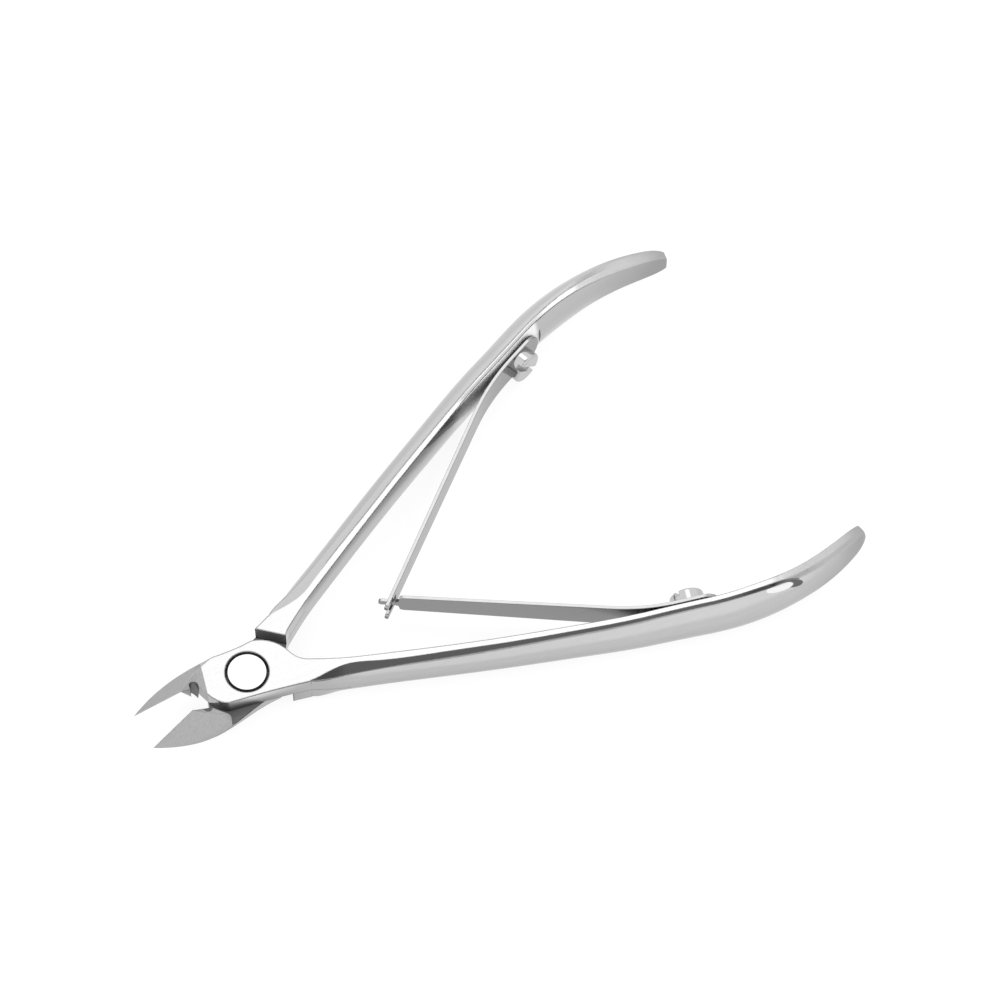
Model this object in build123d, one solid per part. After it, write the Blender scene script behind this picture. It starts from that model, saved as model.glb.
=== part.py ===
from build123d import *
import math
import os

# Cuticle nipper with a lap joint, millimetres.
# Origin: on the pivot axis, at the back face of the joint. +X runs from the pivot towards the
# handle ends, midway between the two levers; +Y is the side of the rear lever's handle;
# +Z is the front, where the pivot head and the cutting edges are.
# Both levers are drawn in the closed position, cutting edge on y = 0, and then swung open.
# The rear lever is the mirror image of the front one, apart from which half of the joint it keeps.

# Joint
JOINT_T = 5.6
REAR_PLATE_T = 2.55
LAP_GAP = 0.05
LAP_Z = REAR_PLATE_T + LAP_GAP
MID_Z = JOINT_T / 2
OPEN_HALF_ANGLE = 9.35
EDGE_GAP = 0.02

# Pivot screw
PIVOT_HEAD_R = 2.9
PIVOT_HEAD_H = 1.6
COUNTERBORE_R = 3.32
PIVOT_SHANK_R = 1.9
PIVOT_THREAD_R = 1.5
RUNNING_GAP = 0.03
PIVOT_SLOT_W = 0.6
PIVOT_SLOT_DEPTH = 0.6

# Jaw: the cutting edge climbs from the tip to the heel, the blade face falls away from it
TIP_X = -18.14
TIP_Z = MID_Z + 1.85
HEEL_X = -10.5
EDGE_RISE = 0.318
BLADE_FALL = 0.85
RELIEF_SLOPE = 0.46
RELIEF_END_SLANT = 0.4
JAW_TOP_Z = 7.8
NECK_WHEEL_R = 5.5
NECK_LINE = ((-6.6, -0.4), (-6.04, 3.5))
NOTCH_CENTRE = (-8.22, 0.78)
NOTCH_R = 0.68
RUN_OUT_START = (-6.22, 3.43)
RUN_OUT_JAW_END = (-7.2, 3.27)
RUN_OUT_ANGLE = 21.3
RUN_OUT_SLOPE = 1.1
BELLY_PROFILE = (
    (-18.3, 1.8),
    (-14.8, -1.25),
    (-11.1, -3.6),
    (-7.5, -4.85),
    (-2.9, -5.8),
    (2.6, -7.3),
)

# Handle stations: inner edge x, y; width; height; flat strip on the edge; shoulder beside it,
# which falls away gently; crown of the inner face
SHOULDER_SLOPE = 0.16
STATIONS = (
    (9.6, -1.55, 3.75, 5.60, 3.50, 0.18, 0.01),
    (11.8, -2.38, 3.77, 5.50, 2.30, 1.20, 0.01),
    (14.6, -3.32, 3.73, 5.35, 1.05, 1.79, 0.01),
    (18.6, -4.42, 3.63, 5.30, 1.00, 1.45, 0.02),
    (28.3, -6.97, 3.55, 5.40, 0.96, 1.13, 0.05),
    (38.4, -9.48, 3.55, 5.85, 0.90, 0.91, 0.20),
    (48.4, -11.75, 3.57, 6.50, 0.84, 0.77, 0.45),
    (58.2, -13.76, 3.67, 7.25, 0.76, 0.69, 0.68),
    (64.4, -14.74, 3.70, 7.80, 0.72, 0.66, 0.68),
    (70.6, -15.71, 3.73, 8.15, 0.72, 0.66, 0.68),
    (76.3, -16.00, 3.69, 8.20, 0.80, 0.72, 0.62),
    (82.0, -15.58, 3.55, 6.95, 1.00, 0.80, 0.45),
    (87.2, -14.45, 3.37, 5.90, 1.15, 0.83, 0.30),
    (91.4, -13.10, 2.90, 5.20, 1.10, 0.76, 0.20),
    (93.7, -12.25, 2.35, 4.20, 0.92, 0.72, 0.12),
    (94.8, -11.85, 1.75, 2.90, 0.70, 0.58, 0.08),
)

# Leaf springs and their screws
LEAF_T = 0.56
LEAF_ROOT_W = 6.3
LEAF_BEND_W = 5.6
LEAF_END_W = 4.1
LEAF_END_R = 2.6
SEAT_MID = (64.8, -14.24)
SEAT_ANGLE = -8.95
SEAT_BEND_X = 59.2
SEAT_SCREW_X = 65.95
SEAT_END_X = 70.6
SEAT_RUN_OUT = 1.0
CROSSING = (25.0, -0.3)
HINGE_GAP = 0.03
TONGUE_W = 1.1
TONGUE_BACK = 1.15
TONGUE_TIP = 2.0
FORK_SLOT_W = 1.9
FORK_BACK = 1.15
FORK_TIP = 2.2
SCREW_HEAD_R = 2.65
SCREW_HEAD_H = 1.9
SCREW_EDGE = 0.45
SCREW_SHANK_R = 1.0
SCREW_DEPTH = 2.4
SCREW_SLOT_W = 0.8
SCREW_SLOT_DEPTH = 0.9
SCREW_SLOT_TURN = 52
LEAF_HOLE_R = 1.1


def blade_z(x, y):
    """Height of the blade face above a point of the plan."""
    return TIP_Z + EDGE_RISE * (x - TIP_X) - BLADE_FALL * y


def half_space(point, normal, size=60):
    """A large block whose one face passes through the point; it fills the side of the normal."""
    plane = Plane(origin=point, z_dir=normal)
    return plane * Box(size, size, size, align=(Align.CENTER, Align.CENTER, Align.MIN))


def head_outline():
    """Plan of the jaw and the joint of one lever, closed, up to where the handle starts."""
    inner = STATIONS[0][:2]
    outer_point = station_plane(0).from_local_coords((STATIONS[0][2], 0, 0))
    outer = (outer_point.X, outer_point.Y)
    tip = (TIP_X, EDGE_GAP)
    heel = (HEEL_X, EDGE_GAP)
    heel_end = (-8.7, 0.56)
    throat = (-7.58, 0.6)
    corner = (-4.3, -3.75)
    crown = (2.4, 4.58)
    shoulder = (7.05, 0.9)
    edges = [
        Line(tip, heel),
        Line(heel, heel_end),
        Line(heel_end, throat),
        Spline(throat, (-7.05, -0.6), (-6.14, -2.3), corner),
        ThreePointArc(corner, (2.0, -4.28), outer),
        Line(outer, inner),
        ThreePointArc(inner, (7.95, -0.52), shoulder),
        ThreePointArc(shoulder, (5.2, 3.33), crown),
        Spline(crown, (-4.4, 4.25), (-9.1, 4.05), (-13.24, 2.92), tip),
    ]
    return make_face(edges)


def station_plane(index):
    """Plane across the handle at a station: local x runs outwards, from the inner face."""
    before = STATIONS[max(index - 1, 0)]
    after = STATIONS[min(index + 1, len(STATIONS) - 1)]
    x, y = STATIONS[index][:2]
    along = Vector(after[0] - before[0], after[1] - before[1], 0).normalized()
    outwards = Vector(along.Y, -along.X, 0)
    return Plane(origin=(x, y, MID_Z), x_dir=outwards, z_dir=along)


def handle_section(index):
    """Handle section: crowned inner face, narrow flat edges, shoulders and a convex back."""
    width, height, strip, shoulder, crown = STATIONS[index][2:]
    top = height / 2
    back = strip + shoulder
    rim = top - SHOULDER_SLOPE * shoulder
    front = Polyline((back, rim), (strip, top), (0, top))
    inside = ThreePointArc((0, top), (-crown, 0), (0, -top))
    rear = Polyline((0, -top), (strip, -top), (back, -rim))
    outside = ThreePointArc((back, -rim), (width, 0), (back, rim))
    return station_plane(index) * make_face([*front.edges(), inside, *rear.edges(), outside])


def handle():
    return loft([handle_section(i) for i in range(len(STATIONS))])


def neck_wheel():
    """Cylinder that grinds the hollow between the joint face and the heel of the blade."""
    low, high = Vector(*NECK_LINE[0]), Vector(*NECK_LINE[1])
    along = (high - low).normalized()
    away = Vector(-along.Y, along.X)
    reach = (Vector(HEEL_X, 0) - low).dot(away)
    climb = blade_z(HEEL_X, 0) - JOINT_T
    chord = math.hypot(reach, climb)
    lift = math.sqrt(NECK_WHEEL_R**2 - (chord / 2) ** 2)
    offset = reach / 2 - lift * climb / chord
    height = JOINT_T + climb / 2 + lift * reach / chord
    centre = low + away * offset
    axis = Plane(origin=(centre.X, centre.Y, height), z_dir=(along.X, along.Y, 0))
    return axis * Cylinder(NECK_WHEEL_R, 30)


def run_out():
    """Space over the jaw, and over the steep facet that ends the blade face beside the joint."""
    angle = math.radians(RUN_OUT_ANGLE)
    outwards = Vector(-math.sin(angle), math.cos(angle), 0)
    facet = half_space((*RUN_OUT_START, JOINT_T), outwards * RUN_OUT_SLOPE + Vector(0, 0, 1))
    return facet + half_space((*RUN_OUT_JAW_END, 0), (-math.cos(angle), -math.sin(angle), 0))


def belly_cutter():
    """Everything under the curved underside of the jaw; its rulings rise outwards at 45 degrees."""
    first, last = BELLY_PROFILE[0], BELLY_PROFILE[-1]
    curve = Spline(*[(x, z + MID_Z) for x, z in BELLY_PROFILE])
    floor = -20
    sides = Polyline((last[0], last[1] + MID_Z), (last[0], floor), (first[0] - 3, floor),
                     (first[0] - 3, first[1] + MID_Z), (first[0], first[1] + MID_Z))
    profile = Plane.XZ * make_face([curve, *sides.edges()])
    profile = Pos(0, -6, -6) * profile
    return extrude(profile, amount=14 * math.sqrt(2), dir=(0, 1, 1))


def jaw_and_joint():
    """Head of one lever, closed, before the lap is cut."""
    plan = head_outline()
    plates = extrude(plan, JOINT_T)
    low, high = Vector(*NECK_LINE[0]), Vector(*NECK_LINE[1])
    jaw_side = Plane(origin=low, x_dir=high - low, z_dir=(0, 0, 1))
    jaw_area = jaw_side * Rectangle(40, 20, align=(Align.CENTER, Align.MIN))
    raised = extrude(plan & jaw_area, JAW_TOP_Z)
    head = plates + raised
    tip = (TIP_X, 0, TIP_Z)
    blade = half_space(tip, (-EDGE_RISE, BLADE_FALL, 1))
    head -= blade & run_out()
    head -= neck_wheel()
    relief = half_space(tip, (EDGE_RISE * RELIEF_SLOPE, -1, -RELIEF_SLOPE))
    heel = (HEEL_X, 0, blade_z(HEEL_X, 0))
    head -= relief & half_space(heel, (-1, 0, -RELIEF_END_SLANT))
    head -= belly_cutter()
    return head


def lap_area():
    """Plan area that the other lever's plate sweeps; its two slanting ends are the lap shoulders."""
    round_from, round_to = (-6.42, 3.52), (-6.72, 4.3)
    corner = ThreePointArc(round_from, (-6.35, 3.96), round_to)
    rest = Polyline(round_to, (-6.72, 6), (13.13, 6), (3.76, -7), (-8.81, -7), (-8.81, 0.6),
                    (-7.75, 0.97), round_from)
    return make_face([corner, *rest.edges()])


def seat_point(x):
    """Point of the spring seat at a distance x from the pivot."""
    return Vector(x, SEAT_MID[1] + (x - SEAT_MID[0]) * math.tan(math.radians(SEAT_ANGLE)))


def seat_plane(x):
    """Plane lying on the spring seat: local x runs along the handle, local z away from it."""
    point = seat_point(x)
    angle = math.radians(SEAT_ANGLE)
    normal = (-math.sin(angle), math.cos(angle), 0)
    along = (math.cos(angle), math.sin(angle), 0)
    return Plane(origin=(point.X, point.Y, MID_Z), x_dir=along, z_dir=normal)


def lever_blank():
    """One whole lever, closed, with its spring seat and screw hole, before the lap is cut."""
    blank = jaw_and_joint() + handle()
    length = SEAT_END_X - SEAT_BEND_X + 2 * SEAT_RUN_OUT
    middle = (SEAT_BEND_X + SEAT_END_X) / 2
    blank -= seat_plane(middle) * Box(length, 10, 1, align=(Align.CENTER, Align.CENTER, Align.MIN))
    hole = Cylinder(SCREW_SHANK_R, SCREW_DEPTH, align=(Align.CENTER, Align.CENTER, Align.MAX))
    return blank - seat_plane(SEAT_SCREW_X) * hole


def stacked_hole(radius, low, high):
    return Pos(0, 0, low) * Cylinder(radius, high - low, align=(Align.CENTER, Align.CENTER, Align.MIN))


def front_lever(blank):
    """Keeps the front half of the lap, with the counterbored pivot hole."""
    lever = blank - extrude(lap_area(), LAP_Z)
    notch = Cylinder(NOTCH_R, JAW_TOP_Z, align=(Align.CENTER, Align.CENTER, Align.MIN))
    lever -= Pos(*NOTCH_CENTRE, 0) * notch
    lever -= stacked_hole(PIVOT_SHANK_R + RUNNING_GAP, 0, JOINT_T)
    lever -= stacked_hole(COUNTERBORE_R, JOINT_T - PIVOT_HEAD_H - RUNNING_GAP, JOINT_T)
    return Rot(0, 0, -OPEN_HALF_ANGLE) * lever


def rear_lever(blank):
    """Keeps the rear half of the lap, with the threaded pivot hole."""
    lever = blank - Pos(0, 0, REAR_PLATE_T) * extrude(lap_area(), JAW_TOP_Z)
    notch = Cylinder(NOTCH_R, REAR_PLATE_T, align=(Align.CENTER, Align.CENTER, Align.MIN))
    lever -= Pos(*NOTCH_CENTRE, 0) * notch
    lever -= stacked_hole(PIVOT_THREAD_R, 0, JOINT_T)
    return Rot(0, 0, OPEN_HALF_ANGLE) * mirror(lever, about=Plane.XZ)


def pivot_screw():
    """Flat-headed shoulder screw; its slotted end is flush with the back of the rear lever."""
    head_low = JOINT_T - PIVOT_HEAD_H
    screw = stacked_hole(PIVOT_HEAD_R, head_low, JOINT_T)
    screw += stacked_hole(PIVOT_SHANK_R, REAR_PLATE_T, head_low)
    screw += stacked_hole(PIVOT_THREAD_R, 0, REAR_PLATE_T)
    slot = Box(4, PIVOT_SLOT_W, PIVOT_SLOT_DEPTH, align=(Align.CENTER, Align.CENTER, Align.MIN))
    return Rot(0, 0, OPEN_HALF_ANGLE) * (screw - slot)


def leaf_root():
    """Clamped end of a leaf spring, closed position: it lies on the seat and stops at the bend."""
    screw_at = SEAT_SCREW_X - SEAT_BEND_X
    along = 1 / math.cos(math.radians(SEAT_ANGLE))
    length = (SEAT_END_X - SEAT_BEND_X) * along
    half_root, half_bend = LEAF_ROOT_W / 2, LEAF_BEND_W / 2
    straight = length - LEAF_END_R
    outline = make_face([
        *Polyline((straight, half_root), (0, half_bend), (0, -half_bend), (straight, -half_root)).edges(),
        ThreePointArc((straight, -half_root), (length, 0), (straight, half_root)),
    ])
    plane = seat_plane(SEAT_BEND_X)
    plate = plane * extrude(outline, LEAF_T)
    knuckle = Cylinder(LEAF_T / 2, LEAF_BEND_W)
    plate += Pos(bend_axis()) * knuckle
    return plate - plane * Pos(screw_at * along, 0) * Cylinder(LEAF_HOLE_R, 4)


def bend_axis():
    """Centre of the bend of the leaf, halfway through its thickness, in the closed position."""
    plane = seat_plane(SEAT_BEND_X)
    return plane.from_local_coords((0, 0, LEAF_T / 2))


def leaf_arm(bend, outline):
    """Free arm of a leaf spring, open position: from its bend towards the crossing."""
    arm = extrude(outline, LEAF_T / 2, both=True)
    arm -= Rot(90, 0, 0) * Cylinder(LEAF_T / 2 + HINGE_GAP, 2 * LEAF_BEND_W)
    along = crossing_point() - bend
    across = Vector(-along.Y, along.X, 0)
    return Plane(origin=bend, x_dir=along, z_dir=across) * arm


def crossing_point():
    return Vector(*CROSSING, MID_Z)


def open_bend(side):
    """Bend of a leaf with the levers open; side is -1 on the front lever and 1 on the rear one."""
    bend = bend_axis()
    return Vector(bend.X, -side * bend.Y, bend.Z).rotate(Axis.Z, side * OPEN_HALF_ANGLE)


def front_arm():
    """Arm of the front lever's leaf, which ends in the tongue."""
    bend = open_bend(-1)
    return leaf_arm(bend, tongue_outline((crossing_point() - bend).length))


def rear_arm():
    """Arm of the rear lever's leaf, which ends in the fork."""
    bend = open_bend(1)
    return leaf_arm(bend, fork_outline((crossing_point() - bend).length))


def tongue_outline(length):
    """Arm that ends in a round-tipped tongue; length is from the bend to the crossing."""
    shoulder = length - TONGUE_BACK
    tip = length + TONGUE_TIP
    root, end, slim = LEAF_BEND_W / 2, LEAF_END_W / 2, TONGUE_W / 2
    corner = 0.6
    lines = Polyline((tip - slim, -slim), (shoulder + corner, -slim), (shoulder, -end + corner),
                     (shoulder - corner, -end), (0, -root), (0, root), (shoulder - corner, end),
                     (shoulder, end - corner), (shoulder + corner, slim), (tip - slim, slim))
    arc = ThreePointArc((tip - slim, slim), (tip, 0), (tip - slim, -slim))
    return make_face([*lines.edges(), arc])


def fork_outline(length):
    """Arm that ends in two prongs, one on each side of the tongue."""
    back = length - FORK_BACK
    tip = length + FORK_TIP
    root, end, slot = LEAF_BEND_W / 2, LEAF_END_W / 2, FORK_SLOT_W / 2
    middle = (end + slot) / 2
    round_at = tip - (end - slot) / 2
    lines = Polyline((round_at, -end), (0, -root), (0, root), (round_at, end))
    upper = ThreePointArc((round_at, end), (tip, middle), (round_at, slot))
    inside = Polyline((round_at, slot), (back, slot), (back, -slot), (round_at, -slot))
    lower = ThreePointArc((round_at, -slot), (tip, -middle), (round_at, -end))
    return make_face([*lines.edges(), upper, *inside.edges(), lower])


def spring_screw():
    """Slotted cheese-head screw that holds a leaf on its seat, closed position."""
    head = Cylinder(SCREW_HEAD_R, SCREW_HEAD_H, align=(Align.CENTER, Align.CENTER, Align.MIN))
    head = fillet(head.faces().sort_by(Axis.Z)[-1].edges(), SCREW_EDGE)
    slot = Box(8, SCREW_SLOT_W, 2, align=(Align.CENTER, Align.CENTER, Align.MIN))
    head -= Pos(0, 0, SCREW_HEAD_H - SCREW_SLOT_DEPTH) * Rot(0, 0, SCREW_SLOT_TURN) * slot
    shank_len = SCREW_DEPTH + LEAF_T
    shank = Cylinder(SCREW_SHANK_R, shank_len, align=(Align.CENTER, Align.CENTER, Align.MAX))
    return seat_plane(SEAT_SCREW_X) * Pos(0, 0, LEAF_T) * (head + shank)


def opened(shape):
    """Swing a piece of the front lever from the closed to the open position."""
    return Rot(0, 0, -OPEN_HALF_ANGLE) * shape


def opened_mirror(shape):
    """The same piece on the rear lever."""
    return Rot(0, 0, OPEN_HALF_ANGLE) * mirror(shape, about=Plane.XZ)


def main():
    blank = lever_blank()
    parts = {
        "front_lever": front_lever(blank),
        "rear_lever": rear_lever(blank),
        "pivot_screw": pivot_screw(),
        "front_leaf_spring_root": opened(leaf_root()),
        "rear_leaf_spring_root": opened_mirror(leaf_root()),
        "front_leaf_spring_arm": front_arm(),
        "rear_leaf_spring_arm": rear_arm(),
        "front_spring_screw": opened(spring_screw()),
        "rear_spring_screw": opened_mirror(spring_screw()),
    }
    os.makedirs("parts", exist_ok=True)
    for name, shape in parts.items():
        export_step(shape, f"parts/{name}.step")
        print(name, round(shape.volume, 2), len(shape.solids()))


main()
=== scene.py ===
import math

import bmesh
import bpy
from mathutils import Matrix, Vector


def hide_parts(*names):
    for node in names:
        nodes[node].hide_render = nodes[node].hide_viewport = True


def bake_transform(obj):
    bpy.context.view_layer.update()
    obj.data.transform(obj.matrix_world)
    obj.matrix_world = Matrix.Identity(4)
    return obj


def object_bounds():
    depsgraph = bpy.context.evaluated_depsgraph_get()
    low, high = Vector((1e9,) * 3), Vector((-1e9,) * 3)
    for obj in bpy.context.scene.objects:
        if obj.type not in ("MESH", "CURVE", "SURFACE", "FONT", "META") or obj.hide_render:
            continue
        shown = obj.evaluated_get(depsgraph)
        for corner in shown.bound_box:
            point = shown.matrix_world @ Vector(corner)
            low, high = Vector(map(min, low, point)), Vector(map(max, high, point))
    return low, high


# Looks of the cuticle nipper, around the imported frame.
# Named sizes are in millimetres unless said otherwise, and MM turns them into metres. Places on a
# lever are in its closed frame: the front lever as it lies with the jaws shut, and the rear lever
# mirrored onto it, so that one set of values serves both.
MM = 0.001
OPEN_HALF_ANGLE = math.radians(9.35)

# Camera, fitted to the object's outline
CAMERA_AT = (-146.255, -309.403, 755.001)
CAMERA_RIGHT = (0.8513, -0.5247, 0.0)
CAMERA_FORWARD = (0.2317, 0.3759, -0.8973)
CAMERA_LENS = 198

# Room: radiance at the horizon and overhead, and lobes of another radiance, each as azimuth,
# elevation, full inside this angle, gone outside this angle (degrees), radiance
HORIZON = 1.1
ROOM = 1.3
LOBES = (
    (130, 81, 6, 16, 0.22),
    (92, 71, 5, 11, 0.12),
    (-31.65, 64, 6, 14, 0.25),
    (148.35, 60, 11, 14, 2.4),
)
FLOOR_RADIUS = 1500
FLOOR_GLOW = 0.85

# Joint and jaw
JOINT_T = 5.6
LAP_Z = 2.6
PIVOT_HEAD_R = 2.9
COUNTERBORE_R = 3.32
HANDLE_WALL_NORMAL = (-0.811, 0.585, 0)
JAW_WALL_NORMAL = (0.887, -0.462, 0)
NECK_NORMAL = (-0.990, 0.142, 0)
NECK_DISTANCE = 6.48
BLADE_NORMAL = (-0.318, 0.85, 1)
NOTCH_CENTRE = (-8.22, 0.78)
NOTCH_R = 0.68
EDGE_ROUND = 0.32

# Fades along a lever, each as the x where an area is gone and the x where it is full
BRUSHED_FADE = (13, 11)
BLADE_FADE = (-6.6, -7.2)
JOINT_FADES = ((-10, -9.9), (14, 13.9))
JOINT_SIDE_FADES = ((9, -2), (-6.6, -4.8))
INSIDE_FADES = ((12, 16), (60, 46))
SEAT_FADES = ((50, 55), (71.5, 70.5))
SEAT_BAND_FADES = ((52, 55), (75, 70))
LINE_FADE = (16, 22)
SATIN_FADE_FRONT = (81, 82.5)
SATIN_FADE_SIDES = (81, 91)

# Fades across a lever: by y, by z, by the distance from the pivot or from the notch's centre
JOINT_SIDE_Y_FADE = (2, 1)
INSIDE_Z_FADE = (2.4, 5.2)
OVAL_Z_FADE = (2.0, 2.5)
LAP_FLOOR_FADES = ((LAP_Z + 0.06, LAP_Z + 0.02), (LAP_Z - 0.12, LAP_Z - 0.08))
GAP_FADES = ((COUNTERBORE_R + 0.02, COUNTERBORE_R + 0.01), (PIVOT_HEAD_R - 0.12, PIVOT_HEAD_R - 0.1))
GAP_Z_FADE = (JOINT_T - 0.01, JOINT_T - 0.03)
NOTCH_FADE = (NOTCH_R + 0.04, NOTCH_R + 0.02)

# Fades by the cosine of the angle between a face and a direction
FRONT_FACE = (0.985, 0.997)
SIDE_FACE = (0.35, 0.2)
INNER_FACE = (0.75, 0.9)
LAP_WALL = (0.96, 0.99)
BLADE_FACE = (0.93, 0.97)
STRIP_FACE = (0.8, 0.95)
TURNED_EDGE = (0.988, 0.90)

# Painted dark reflection line along the rear handle: the direction outwards from the front strip, and
# fades by how far
# # the rounded surface turns towards it
STRIP_OUTWARDS = (-0.31, 0.95, 0)
LINE_TURNS = ((0.03, 0.055), (0.13, 0.10))

# Tones of a lever's steel, a pair being the two ends of a pattern
POLISHED_TONES = (0.44, 0.49)
END_TONES = (0.37, 0.46)
JAW_TONES = (0.29, 0.36)
BLADE_TONES = (0.32, 0.42)
SEAT_TONE = 0.85
LINE_TONE = 0.07

# Factors on those tones
BRUSHED_GAINS = (0.84, 1.0)
INSIDE_GAINS = (0.25, 0.55)
JAW_SIDE_GAIN = 1.35
NOTCH_GAIN = 0.35
SEAT_BAND_SHADE_GAIN = 0.55
# Painted dark outline on polished edge lines, and painted highlight on satin ones
POLISHED_EDGE_GAIN = 0.14
SATIN_EDGE_GAIN = 1.2

# Factors that change smoothly, each as start, end, factor at the start, factor at the end: with
# # the height on the joint's side (painted shade below, painted light above), with how far a face looks
# up (painted shade on faces that look down), along the handle, at its end
JOINT_SIDE_RAMP = (2.9, 5.9, 0.40, 1.9)
UPWARDS_RAMP = (-0.7, 0.5, 0.70, 1.03)
ALONG_RAMP = (20, 75, 0.95, 1.03)
END_RAMP = (90, 96, 1.0, 0.8)

# Ovals of the painted reflection at the palm, each painted over the one before: centre, half length,
# # half width, turn, tone
PALM_OVALS = (
    ((80.2, -17.2), 2.4, 0.35, math.radians(-4), 0.22),
    ((81.35, -17.75), 1.6, 0.45, math.radians(-4), 0.11),
    ((79.15, -17.75), 2.2, 0.48, 0.0, 0.71),
)

# Roughness of a lever's steel; tone of the painted shade between the plates and round the pivot head, and
# roughness of the dull steel there
POLISHED_ROUGH = (0.07, 0.11)
SATIN_ROUGH = (0.36, 0.46)
PAINTED_SHADE_TONE = 0.24
DULL_ROUGH = 0.65

# Small pieces: gain on the faces towards +y, painted light by face direction
REAR_FACE_GAIN = 1.4

# Leaf springs
LEAF_T = 0.56
LEAF_ROOT_HALF = 3.15
LEAF_BEND_HALF = 2.8
LEAF_END_HALF = 2.05
LEAF_EDGE = 0.09
LEAF_HOLE_R = 1.1
STEP_BACK = 1.15
TONGUE_HALF = 0.55
TONGUE_TIP = 2.0
FORK_SLOT_HALF = 0.95
FORK_TIP = 2.2
SEAT_MID = (64.8, -14.24)
SEAT_ANGLE = math.radians(-8.95)
SEAT_BEND_X = 59.2
SEAT_SCREW_X = 65.95
SEAT_END_X = 70.6
SEAT_LIP = 1.0
ROOT_ROUND = 2.6
BEND_RADIUS = 35.0
BEND_STEPS = 16
ARM_STEP = 3.0
ARM_STEPS = 10
CROSSING = (25.0, -0.3)
MID_Z = JOINT_T / 2

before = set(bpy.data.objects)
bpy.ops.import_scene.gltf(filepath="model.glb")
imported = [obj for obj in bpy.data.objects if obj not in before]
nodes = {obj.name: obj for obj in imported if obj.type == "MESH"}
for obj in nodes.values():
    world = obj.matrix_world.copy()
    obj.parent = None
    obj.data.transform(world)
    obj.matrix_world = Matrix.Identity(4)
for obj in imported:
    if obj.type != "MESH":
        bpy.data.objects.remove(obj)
cad_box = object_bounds()


# ---------------------------------------------------------------- node helpers

class Graph:
    """Short names for the nodes of one material or of the world."""

    def __init__(self, tree):
        self.nodes = tree.nodes
        self.links = tree.links

    def node(self, kind, **settings):
        made = self.nodes.new(kind)
        for key, value in settings.items():
            setattr(made, key, value)
        return made

    def feed(self, socket, value):
        if isinstance(value, bpy.types.NodeSocket):
            self.links.new(value, socket)
        else:
            socket.default_value = value

    def math(self, operation, a, b=0.0, c=0.0):
        made = self.node("ShaderNodeMath", operation=operation)
        for socket, value in zip(made.inputs, (a, b, c)):
            self.feed(socket, value)
        return made.outputs[0]

    def times(self, product, *factors):
        for factor in factors:
            product = self.math("MULTIPLY", product, factor)
        return product

    def squares(self, a, b):
        """a squared plus b squared."""
        return self.math("ADD", self.times(a, a), self.times(b, b))

    def dot(self, vector, direction):
        made = self.node("ShaderNodeVectorMath", operation="DOT_PRODUCT")
        self.feed(made.inputs[0], vector)
        made.inputs[1].default_value = Vector(direction).normalized()
        return made.outputs["Value"]

    def split(self, vector):
        """The three coordinates of a vector."""
        made = self.node("ShaderNodeSeparateXYZ")
        self.feed(made.inputs[0], vector)
        return tuple(made.outputs)

    def ramp(self, value, start, end, low=0.0, high=1.0):
        """Smooth step from low to high as a value goes from start to end."""
        made = self.node("ShaderNodeMapRange", interpolation_type="SMOOTHSTEP")
        self.feed(made.inputs["Value"], value)
        made.inputs["From Min"].default_value = start
        made.inputs["From Max"].default_value = end
        made.inputs["To Min"].default_value = low
        made.inputs["To Max"].default_value = high
        return made.outputs["Result"]

    def band(self, value, fades):
        """1 where all of these fades of a value are full."""
        return self.times(*[self.ramp(value, *fade) for fade in fades])

    def mix(self, factor, a, b):
        """Number between a and b."""
        made = self.node("ShaderNodeMix", data_type="FLOAT")
        self.feed(made.inputs[0], factor)
        self.feed(made.inputs[2], a)
        self.feed(made.inputs[3], b)
        return made.outputs[0]

    def scaled(self, tone, mask, factor):
        """The tone, multiplied by the factor where the mask is 1."""
        return self.times(tone, self.mix(mask, 1.0, factor))

    def grey(self, value):
        made = self.node("ShaderNodeCombineColor")
        for socket in made.inputs[:3]:
            self.feed(socket, value)
        return made.outputs[0]

    def noise(self, vector, scale, detail, roughness):
        made = self.node("ShaderNodeTexNoise")
        self.feed(made.inputs["Vector"], vector)
        made.inputs["Scale"].default_value = scale
        made.inputs["Detail"].default_value = detail
        made.inputs["Roughness"].default_value = roughness
        return made.outputs["Fac"]

    def mapping(self, vector, rotation=(0, 0, 0), scale=(1, 1, 1)):
        made = self.node("ShaderNodeMapping")
        self.feed(made.inputs["Vector"], vector)
        made.inputs["Rotation"].default_value = rotation
        made.inputs["Scale"].default_value = scale
        return made.outputs[0]


def new_material(name):
    material = bpy.data.materials.new(name)
    material.use_nodes = True
    graph = Graph(material.node_tree)
    shader = graph.nodes["Principled BSDF"]
    shader.inputs["Metallic"].default_value = 1.0
    return material, graph, shader


def rounded_normal(graph, radius):
    """Normal that turns smoothly over edges of this radius."""
    bevel = graph.node("ShaderNodeBevel", samples=6)
    bevel.inputs["Radius"].default_value = radius * MM
    return bevel.outputs[0]


def edge_line(graph, rounded):
    """1 on a thin line along sharp edges, where polishing has turned them over. The tone put on it is
    painted shade, and on satin lever steel a painted highlight.
    """
    flat = graph.node("ShaderNodeNewGeometry").outputs["True Normal"]
    turned = graph.node("ShaderNodeVectorMath", operation="DOT_PRODUCT")
    graph.feed(turned.inputs[0], rounded)
    graph.feed(turned.inputs[1], flat)
    return graph.ramp(turned.outputs["Value"], *TURNED_EDGE)


def relief(graph, shader, height, strength, distance, rounded):
    """Fine relief on top of the rounded normal."""
    bump = graph.node("ShaderNodeBump")
    bump.inputs["Strength"].default_value = strength
    bump.inputs["Distance"].default_value = distance * MM
    graph.feed(bump.inputs["Height"], height)
    graph.feed(bump.inputs["Normal"], rounded)
    graph.feed(shader.inputs["Normal"], bump.outputs[0])


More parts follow.
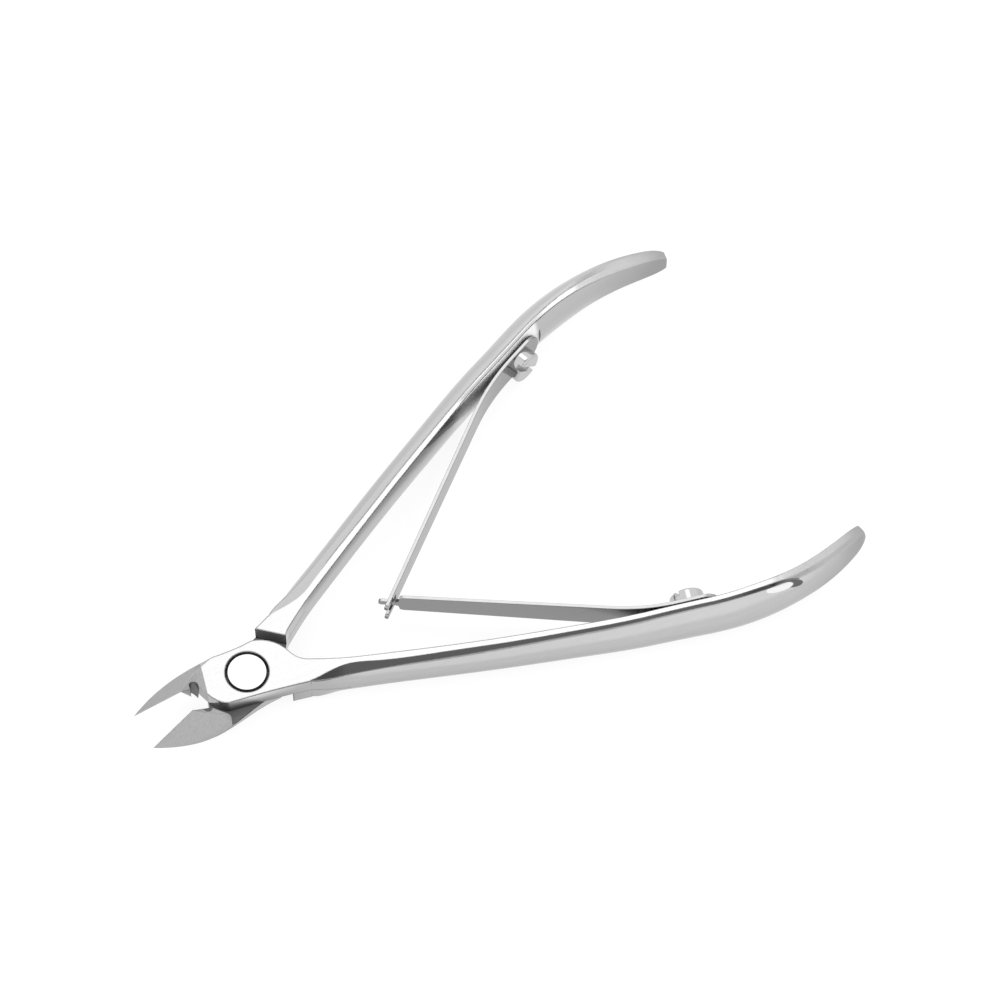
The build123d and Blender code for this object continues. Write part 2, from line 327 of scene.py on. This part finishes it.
def closed_frame(graph, side):
    """Position and normal in the lever's closed frame; side is -1 front, 1 rear."""
    source = graph.node("ShaderNodeTexCoord")
    turn = (0, 0, -side * OPEN_HALF_ANGLE)
    flip = (1, -side, 1)
    place = graph.mapping(source.outputs["Object"], rotation=turn, scale=(1 / MM,) * 3)
    place = graph.mapping(place, scale=flip)
    normal = graph.mapping(source.outputs["Normal"], rotation=turn)
    normal = graph.mapping(normal, scale=flip)
    return place, normal


class LeverPoint:
    """The shaded point of a lever: where it is, which way it faces, and its grain."""

    def __init__(self, graph, side):
        self.place, self.normal = closed_frame(graph, side)
        self.x, self.y, self.z = graph.split(self.place)
        _, inwards, self.up = graph.split(self.normal)
        self.front_face = graph.ramp(self.up, *FRONT_FACE)
        self.side_face = graph.ramp(graph.math("ABSOLUTE", self.up), *SIDE_FACE)
        self.inner_face = graph.ramp(inwards, *INNER_FACE)

        along_handle = graph.mapping(self.place, rotation=(0, 0, math.radians(9)), scale=(0.05, 1.0, 1.0))
        across_jaw = graph.mapping(self.place, rotation=(0, 0, math.radians(-40)), scale=(0.12, 1.6, 0.5))
        self.streak = graph.noise(along_handle, 2.2, 4.0, 0.6)
        self.cloud = graph.noise(self.place, 0.35, 2.0, 0.5)
        self.grain = graph.noise(self.place, 9.0, 3.0, 0.6)
        self.scratch = graph.ramp(graph.noise(across_jaw, 11.0, 5.0, 0.75), 0.3, 0.7)
        self.wander = graph.math("MULTIPLY_ADD", self.cloud, 3.0, self.x)


# ---------------------------------------------------------------- areas of a lever

def pivot_gap(graph, x, y, z):
    """1 inside the narrow gap round the pivot head, where shade is painted. It starts a little inside the
    head's rim, because the rim is faceted."""
    radius = graph.math("SQRT", graph.squares(x, y))
    return graph.times(graph.band(radius, GAP_FADES), graph.ramp(z, *GAP_Z_FADE))


def lap_shadow(graph, at):
    """1 on the lap shoulders and the lap floor, where shade is painted."""
    handle_wall = graph.ramp(graph.dot(at.normal, HANDLE_WALL_NORMAL), *LAP_WALL)
    jaw_wall = graph.ramp(graph.dot(at.normal, JAW_WALL_NORMAL), *LAP_WALL)
    walls = graph.math("MAXIMUM", handle_wall, jaw_wall)
    either = graph.math("MAXIMUM", walls, graph.band(at.z, LAP_FLOOR_FADES))
    return graph.times(either, graph.band(at.x, JOINT_FADES))


def notch_wall(graph, at):
    """1 on the wall of the round notch behind the cutting edge, where shade is painted."""
    dx = graph.math("SUBTRACT", at.x, NOTCH_CENTRE[0])
    dy = graph.math("SUBTRACT", at.y, NOTCH_CENTRE[1])
    radius = graph.math("SQRT", graph.squares(dx, dy))
    return graph.ramp(radius, *NOTCH_FADE)


def joint_side(graph, at):
    """1 on the outer side of the joint, from the neck to the start of the handle, where light and shade
    are painted.
    """
    across = graph.ramp(at.y, *JOINT_SIDE_Y_FADE)
    return graph.times(at.side_face, graph.band(at.x, JOINT_SIDE_FADES), across)


def handle_inside(graph, at):
    """1 towards the front of the handle's inner face, from the joint to the spring seat, where shade is
    painted.
    """
    forwards = graph.ramp(at.z, *INSIDE_Z_FADE)
    return graph.times(at.inner_face, graph.band(at.x, INSIDE_FADES), forwards)


def spring_seat(graph, at):
    """1 on the handle's inner face behind the leaf spring, where a brighter tone stands in for light in
    the gap.
    """
    return graph.times(at.inner_face, graph.band(at.x, SEAT_FADES))


def jaw_area(graph, at):
    """1 on the jaw, in front of the neck line."""
    beyond_neck = graph.dot(at.place, NECK_NORMAL)
    return graph.ramp(beyond_neck, NECK_DISTANCE - 0.02, NECK_DISTANCE + 0.02)


def handle_end(graph, at):
    """1 on the satin handle end. Its border wanders, and is sharp on the front and slow elsewhere."""
    slow = graph.ramp(at.wander, *SATIN_FADE_SIDES)
    return graph.mix(at.front_face, slow, graph.ramp(at.wander, *SATIN_FADE_FRONT))


# ---------------------------------------------------------------- lever steel

def ground_tone(graph, at, satin, on_jaw):
    """Brightness of the polished steel, the satin end, the satin jaw and the blade face."""
    polished = graph.mix(at.streak, *POLISHED_TONES)
    brushed = graph.times(at.front_face, graph.ramp(at.x, *BRUSHED_FADE))
    polished = graph.scaled(polished, brushed, graph.mix(at.scratch, *BRUSHED_GAINS))
    end = graph.times(graph.mix(at.grain, *END_TONES), graph.ramp(at.wander, *END_RAMP))
    # Painted light: the jaw's side faces are lighter
    jaw = graph.scaled(graph.mix(at.scratch, *JAW_TONES), at.side_face, JAW_SIDE_GAIN)
    tone = graph.mix(satin, polished, graph.mix(on_jaw, end, jaw))
    blade = graph.ramp(graph.dot(at.normal, BLADE_NORMAL), *BLADE_FACE)
    blade = graph.times(blade, graph.ramp(at.x, *BLADE_FADE))
    return graph.mix(blade, tone, graph.mix(at.scratch, *BLADE_TONES))


def lever_tone(graph, at):
    """Brightness of a lever's steel, how satin it is, and how dull. The shading of its areas is
    painted where reflections fall in the main view."""
    on_jaw = jaw_area(graph, at)
    satin = graph.math("MAXIMUM", handle_end(graph, at), on_jaw)
    joint = joint_side(graph, at)
    seat = spring_seat(graph, at)
    tone = ground_tone(graph, at, satin, on_jaw)
    # Painted light and shade on the joint's side: darker towards the bottom, lighter towards the top
    tone = graph.scaled(tone, joint, graph.ramp(at.z, *JOINT_SIDE_RAMP))
    # Painted shade on the front of the handle's inner face
    tone = graph.scaled(tone, handle_inside(graph, at), graph.mix(at.streak, *INSIDE_GAINS))
    # Painted light: a brighter tone on the seat behind the leaf spring
    tone = graph.mix(seat, tone, SEAT_TONE)
    # Painted shade on faces that look down
    tone = graph.times(tone, graph.ramp(at.up, *UPWARDS_RAMP), graph.ramp(at.x, *ALONG_RAMP))
    # Painted shade in the notch
    tone = graph.scaled(tone, notch_wall(graph, at), NOTCH_GAIN)
    # Painted shade on the lap and in the gap round the pivot head
    dark = graph.math("MAXIMUM", lap_shadow(graph, at), pivot_gap(graph, at.x, at.y, at.z))
    dull = graph.math("MAXIMUM", dark, graph.times(joint, 0.5))
    return graph.mix(dark, tone, PAINTED_SHADE_TONE), graph.math("MAXIMUM", satin, seat), dull


def oval(graph, at, centre, half_length, half_width, turn):
    """1 inside an oval on the front half of a lever's thickness."""
    x, y, z = graph.split(graph.mapping(at.place, rotation=(0, 0, -turn)))
    middle = Matrix.Rotation(-turn, 2) @ Vector(centre)
    along = graph.math("DIVIDE", graph.math("SUBTRACT", x, middle.x), half_length)
    across = graph.math("DIVIDE", graph.math("SUBTRACT", y, middle.y), half_width)
    inside = graph.ramp(graph.squares(along, across), 1.15, 0.85)
    return graph.times(inside, graph.ramp(z, *OVAL_Z_FADE))


def painted_palm_reflection(graph, at, tone):
    """Bright oval with a dark rim at the palm of the front handle, painted in place of a
    reflection."""
    for *shape, oval_tone in PALM_OVALS:
        tone = graph.mix(oval(graph, at, *shape), tone, oval_tone)
    return tone


def seat_band_shade(graph, at, tone):
    """Painted shade: a greyer band along the front strip's inner edge, beside the rear lever's spring
    seat.
    """
    across = (math.sin(SEAT_ANGLE), -math.cos(SEAT_ANGLE), 0)
    seat = SEAT_MID[0] * across[0] + SEAT_MID[1] * across[1]
    band_shade = graph.ramp(graph.dot(at.place, across), seat + SEAT_LIP + 0.12, seat + SEAT_LIP)
    band_shade = graph.times(band_shade, graph.band(at.x, SEAT_BAND_FADES), graph.ramp(at.up, *STRIP_FACE))
    return graph.scaled(tone, band_shade, SEAT_BAND_SHADE_GAIN)


def strip_line(graph, at, rounded, satin, tone):
    """Painted dark reflection: a dark line along the polished rear handle, where the front strip turns
    into the shoulder.
    """
    line = graph.band(graph.dot(rounded, STRIP_OUTWARDS), LINE_TURNS)
    line = graph.times(line, graph.ramp(at.x, *LINE_FADE), graph.math("SUBTRACT", 1.0, satin))
    return graph.mix(line, tone, LINE_TONE)


def lever_material(name, side):
    """Mirror-polished steel with a satin handle end and satin ground jaws."""
    material, graph, shader = new_material(name)
    at = LeverPoint(graph, side)
    tone, satin, dull = lever_tone(graph, at)
    rounded = rounded_normal(graph, EDGE_ROUND)
    edge_gain = graph.mix(satin, POLISHED_EDGE_GAIN, SATIN_EDGE_GAIN)
    tone = graph.scaled(tone, edge_line(graph, rounded), edge_gain)
    if side < 0:
        # Painted reflection at the palm
        tone = painted_palm_reflection(graph, at, tone)
    else:
        # Painted shade beside the spring seat, then a painted dark reflection line along the strip
        tone = strip_line(graph, at, rounded, satin, seat_band_shade(graph, at, tone))
    graph.feed(shader.inputs["Base Color"], graph.grey(tone))
    polished_rough = graph.mix(at.streak, *POLISHED_ROUGH)
    rough = graph.mix(satin, polished_rough, graph.mix(at.grain, *SATIN_ROUGH))
    graph.feed(shader.inputs["Roughness"], graph.mix(dull, rough, DULL_ROUGH))
    height = graph.mix(satin, graph.times(at.streak, 0.25), at.scratch)
    relief(graph, shader, height, 0.25, 0.02, rounded)
    return material


# ---------------------------------------------------------------- steel of the small pieces

def steel_material(name, base, top, rough, brush_scale, brush_depth, edge, edge_shade_gain, gap=False):
    """Small turned or rolled steel piece with fine marks. top is the tone of what faces the front,
    base that of the other faces, which are brighter towards +y: light painted by face direction;
    the edge-line factor scales the painted shade on edge lines, and gap paints shade on the side of the
    pivot head."""
    material, graph, shader = new_material(name)
    source = graph.node("ShaderNodeTexCoord")
    place = graph.mapping(source.outputs["Object"], scale=(1 / MM,) * 3)
    marks = graph.noise(graph.mapping(place, scale=brush_scale), 1.0, 4.0, 0.6)
    cloud = graph.noise(place, 0.6, 2.0, 0.5)
    polish = graph.mix(cloud, rough * 0.8, rough * 1.2)
    # Painted light and shade: the tone follows which way a face looks
    _, rearwards, up = graph.split(source.outputs["Normal"])
    sideways = graph.ramp(rearwards, 0.2, 0.6, base, REAR_FACE_GAIN * top)
    level = graph.mix(graph.ramp(up, 0.5, 0.9), sideways, top)
    tone = graph.times(level, graph.mix(marks, 0.92, 1.08))
    # Painted shade in the gap round the pivot head, which is also made rougher
    if gap:
        dull = pivot_gap(graph, *graph.split(place))
        tone = graph.mix(dull, tone, PAINTED_SHADE_TONE)
        polish = graph.mix(dull, polish, DULL_ROUGH)
    graph.feed(shader.inputs["Roughness"], polish)
    rounded = rounded_normal(graph, edge)
    tone = graph.scaled(tone, edge_line(graph, rounded), edge_shade_gain)
    graph.feed(shader.inputs["Base Color"], graph.grey(tone))
    relief(graph, shader, marks, 0.2, brush_depth, rounded)
    return material


# ---------------------------------------------------------------- leaf springs

def seat_direction(side):
    """Direction of the seat, from the bend towards the handle end, with the levers open."""
    angle = side * (OPEN_HALF_ANGLE - SEAT_ANGLE)
    return Vector((math.cos(angle), math.sin(angle)))


def open_place(x, y, side):
    """Point of the closed front lever, carried to the open lever of that side."""
    return Matrix.Rotation(side * OPEN_HALF_ANGLE, 2) @ Vector((x, -side * y))


def bend_point(side):
    """Where the leaf's centre line bends, with the levers open."""
    y = SEAT_MID[1] + (SEAT_BEND_X - SEAT_MID[0]) * math.tan(SEAT_ANGLE)
    lift = Vector((-math.sin(SEAT_ANGLE), math.cos(SEAT_ANGLE))) * LEAF_T / 2
    return open_place(SEAT_BEND_X + lift.x, y + lift.y, side)


def leaf_line(side):
    """Centre line as a function of the distance from the bend: negative on the seat, positive
    on the arm. Returns the function, how far before the bend the arc starts, the arc's length
    and the distance of the crossing."""
    bend = bend_point(side)
    back = seat_direction(side)
    onwards = -back
    arm = (Vector(CROSSING) - bend).normalized()
    turn = math.atan2(onwards.cross(arm), onwards.dot(arm))
    sign = math.copysign(1, turn)
    reach = BEND_RADIUS * math.tan(abs(turn) / 2)
    arc = BEND_RADIUS * abs(turn)
    start = bend + back * reach
    spoke = Vector((onwards.y, -onwards.x)) * sign * BEND_RADIUS
    centre = start - spoke

    def at(distance):
        along = distance + reach
        if along <= 0:
            point, direction = start + onwards * along, onwards
        elif along < arc:
            swing = Matrix.Rotation(sign * along / BEND_RADIUS, 2)
            point, direction = centre + swing @ spoke, swing @ onwards
        else:
            point, direction = bend + arm * (reach + along - arc), arm
        return point, Vector((-direction.y, direction.x))

    length = (Vector(CROSSING) - bend).length - (2 * reach - arc)
    return at, reach, arc, length


def arc_points(centre, radii, first, last, steps=10):
    """Points on an ellipse round the centre, from the first to the last angle in degrees."""
    angles = [math.radians(first + (last - first) * i / steps) for i in range(steps + 1)]
    return [(centre[0] + radii[0] * math.cos(a), centre[1] + radii[1] * math.sin(a)) for a in angles]


def tongue_outline(length):
    """Free end of the front leaf: it steps in to a narrow tongue with a round tip."""
    step = length - STEP_BACK
    tip = (length + TONGUE_TIP - TONGUE_HALF, 0)
    points = arc_points(tip, (TONGUE_HALF, TONGUE_HALF), 0, 90)
    points += [(step + 0.6, TONGUE_HALF), (step + 0.12, TONGUE_HALF + 0.25), (step, TONGUE_HALF + 0.6)]
    points += [(step, LEAF_END_HALF - 0.6), (step - 0.16, LEAF_END_HALF - 0.18)]
    return points + [(step - 0.6, LEAF_END_HALF)]


def fork_outline(length):
    """Free end of the rear leaf: one round-tipped prong, up to the leaf's side."""
    middle = (LEAF_END_HALF + FORK_SLOT_HALF) / 2
    radius = (LEAF_END_HALF - FORK_SLOT_HALF) / 2
    return arc_points((length + FORK_TIP - radius, middle), (radius, radius), -90, 90)


def half_outline(side, length):
    """Upper half of the flat leaf, as (distance along, half width) points, anticlockwise."""
    stretch = 1 / math.cos(SEAT_ANGLE)
    shoulder = (ROOT_ROUND - (SEAT_END_X - SEAT_BEND_X) * stretch, 0)
    hole = (-(SEAT_SCREW_X - SEAT_BEND_X) * stretch, 0)
    points = tongue_outline(length) if side < 0 else fork_outline(length)
    points += [(0, LEAF_BEND_HALF), (shoulder[0], LEAF_ROOT_HALF)]
    points += arc_points(shoulder, (ROOT_ROUND, LEAF_ROOT_HALF), 90, 180)[1:]
    points += arc_points(hole, (LEAF_HOLE_R, LEAF_HOLE_R), 180, 0)
    if side > 0:
        points += [(length - STEP_BACK, 0), (length - STEP_BACK, FORK_SLOT_HALF)]
    return points


def flat_leaf(side, length, cuts):
    """Flat leaf of full thickness, cut across at these distances; z is 0 to LEAF_T."""
    mesh = bmesh.new()
    for flip in (1, -1):
        corners = [mesh.verts.new((s, flip * w, 0)) for s, w in half_outline(side, length)]
        mesh.faces.new(corners if flip > 0 else corners[::-1])
    bmesh.ops.remove_doubles(mesh, verts=mesh.verts, dist=1e-5)
    for cut in cuts:
        everything = mesh.verts[:] + mesh.edges[:] + mesh.faces[:]
        bmesh.ops.bisect_plane(mesh, geom=everything, plane_co=(cut, 0, 0), plane_no=(1, 0, 0))
    bmesh.ops.recalc_face_normals(mesh, faces=mesh.faces)
    grown = bmesh.ops.extrude_face_region(mesh, geom=mesh.faces[:], use_keep_orig=True)
    for vertex in [item for item in grown["geom"] if isinstance(item, bmesh.types.BMVert)]:
        vertex.co.z = LEAF_T
    return mesh


def leaf_spring(name, side, material):
    """One leaf, bent from flat strip: it lies on its seat, lifts off in a slow curve and runs
    straight to the crossing. Returns it with the two ends of its curve."""
    at, reach, arc, length = leaf_line(side)
    cuts = [-reach + arc * i / BEND_STEPS for i in range(BEND_STEPS + 1)]
    cuts += [arc - reach + ARM_STEP * i for i in range(1, ARM_STEPS + 1)]
    mesh = flat_leaf(side, length, cuts)
    for vertex in mesh.verts:
        along, width, height = vertex.co
        point, across = at(along)
        place = point + across * (height - LEAF_T / 2)
        vertex.co = Vector((place.x, place.y, MID_Z + width)) * MM
    bmesh.ops.recalc_face_normals(mesh, faces=mesh.faces)
    data = bpy.data.meshes.new(name)
    mesh.to_mesh(data)
    mesh.free()
    data.materials.append(material)
    leaf = bpy.data.objects.new(name, data)
    bpy.context.scene.collection.objects.link(leaf)
    round_edges(leaf)
    start, _ = at(-reach)
    end, _ = at(arc - reach)
    return leaf, (*start * MM, MID_Z * MM), (*end * MM, MID_Z * MM)


def round_edges(leaf):
    """Small rounding on every sharp edge of the strip."""
    rounding = leaf.modifiers.new("rounding", "BEVEL")
    rounding.width = LEAF_EDGE * MM
    rounding.segments = 2
    rounding.limit_method = "ANGLE"
    rounding.angle_limit = math.radians(50)
    rounding.harden_normals = True


# ---------------------------------------------------------------- studio

def towards(azimuth, elevation):
    """Direction from the object; azimuth 0 is towards -y, 90 towards +x."""
    a, e = math.radians(azimuth), math.radians(elevation)
    return (math.sin(a) * math.cos(e), -math.cos(a) * math.cos(e), math.sin(e))


def world_light():
    """White room with one bright lobe over the far side and three dark ones."""
    world = bpy.data.worlds.new("studio")
    bpy.context.scene.world = world
    world.use_nodes = True
    graph = Graph(world.node_tree)
    source = graph.node("ShaderNodeTexCoord").outputs["Generated"]
    level = graph.ramp(graph.dot(source, (0, 0, 1)), 0.0, 0.4, HORIZON, ROOM)
    for azimuth, elevation, inner, outer, radiance in LOBES:
        cosine = graph.dot(source, towards(azimuth, elevation))
        inside = graph.ramp(cosine, math.cos(math.radians(outer)), math.cos(math.radians(inner)))
        level = graph.mix(inside, level, radiance)
    background = graph.nodes["Background"]
    graph.feed(background.inputs["Color"], graph.grey(level))
    background.inputs["Strength"].default_value = 1.0


def floor(height):
    """White floor that glows evenly, so that the object casts almost no shadow on it."""
    material, _, shader = new_material("floor")
    shader.inputs["Metallic"].default_value = 0.0
    shader.inputs["Roughness"].default_value = 0.9
    shader.inputs["Specular IOR Level"].default_value = 0.0
    shader.inputs["Base Color"].default_value = (0.2, 0.2, 0.2, 1)
    shader.inputs["Emission Color"].default_value = (1, 1, 1, 1)
    shader.inputs["Emission Strength"].default_value = FLOOR_GLOW
    bpy.ops.mesh.primitive_circle_add(vertices=96, radius=FLOOR_RADIUS * MM, fill_type="NGON",
                                      location=(0.05, 0, height))
    sheet = bpy.context.object
    sheet.name = "floor"
    sheet.data.materials.append(material)


def camera():
    data = bpy.data.cameras.new("camera")
    data.lens = CAMERA_LENS
    data.sensor_width = 36
    data.clip_start = 0.05
    data.clip_end = 20
    made = bpy.data.objects.new("camera", data)
    bpy.context.scene.collection.objects.link(made)
    right = Vector(CAMERA_RIGHT).normalized()
    back = -Vector(CAMERA_FORWARD).normalized()
    up = back.cross(right)
    turn = Matrix((right, up, back)).transposed()
    made.matrix_world = Matrix.Translation(Vector(CAMERA_AT) * MM) @ turn.to_4x4()
    bpy.context.scene.camera = made


# ---------------------------------------------------------------- assembly

front_steel = lever_material("front_lever_steel", -1)
rear_steel = lever_material("rear_lever_steel", 1)
pivot_steel = steel_material("pivot_steel", base=0.47, top=0.47, rough=0.14, brush_scale=(6, 0.4, 1),
                             brush_depth=0.01, edge=0.02, edge_shade_gain=0.4, gap=True)
spring_steel = steel_material("spring_steel", base=0.24, top=0.37, rough=0.18, brush_scale=(0.5, 0.5, 8),
                              brush_depth=0.015, edge=0.03, edge_shade_gain=1.0)
screw_steel = steel_material("screw_steel", base=0.47, top=0.47, rough=0.12, brush_scale=(3, 3, 3),
                             brush_depth=0.01, edge=0.08, edge_shade_gain=0.4)

for node, material in (("front_lever", front_steel), ("rear_lever", rear_steel),
                       ("pivot_screw", pivot_steel), ("front_spring_screw", screw_steel),
                       ("rear_spring_screw", screw_steel)):
    nodes[node].data.materials.clear()
    nodes[node].data.materials.append(material)

for word, side, lever, arm in (("front", -1, "lever_a", "spring_a"), ("rear", 1, "lever_b", "spring_b")):
    leaf, start, end = leaf_spring(f"{word}_leaf_spring", side, spring_steel)
    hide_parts(f"{word}_leaf_spring_root", f"{word}_leaf_spring_arm")
    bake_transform(leaf)

world_light()
floor(cad_box[0].z)
camera()
bpy.context.scene.view_settings.view_transform = "Standard"
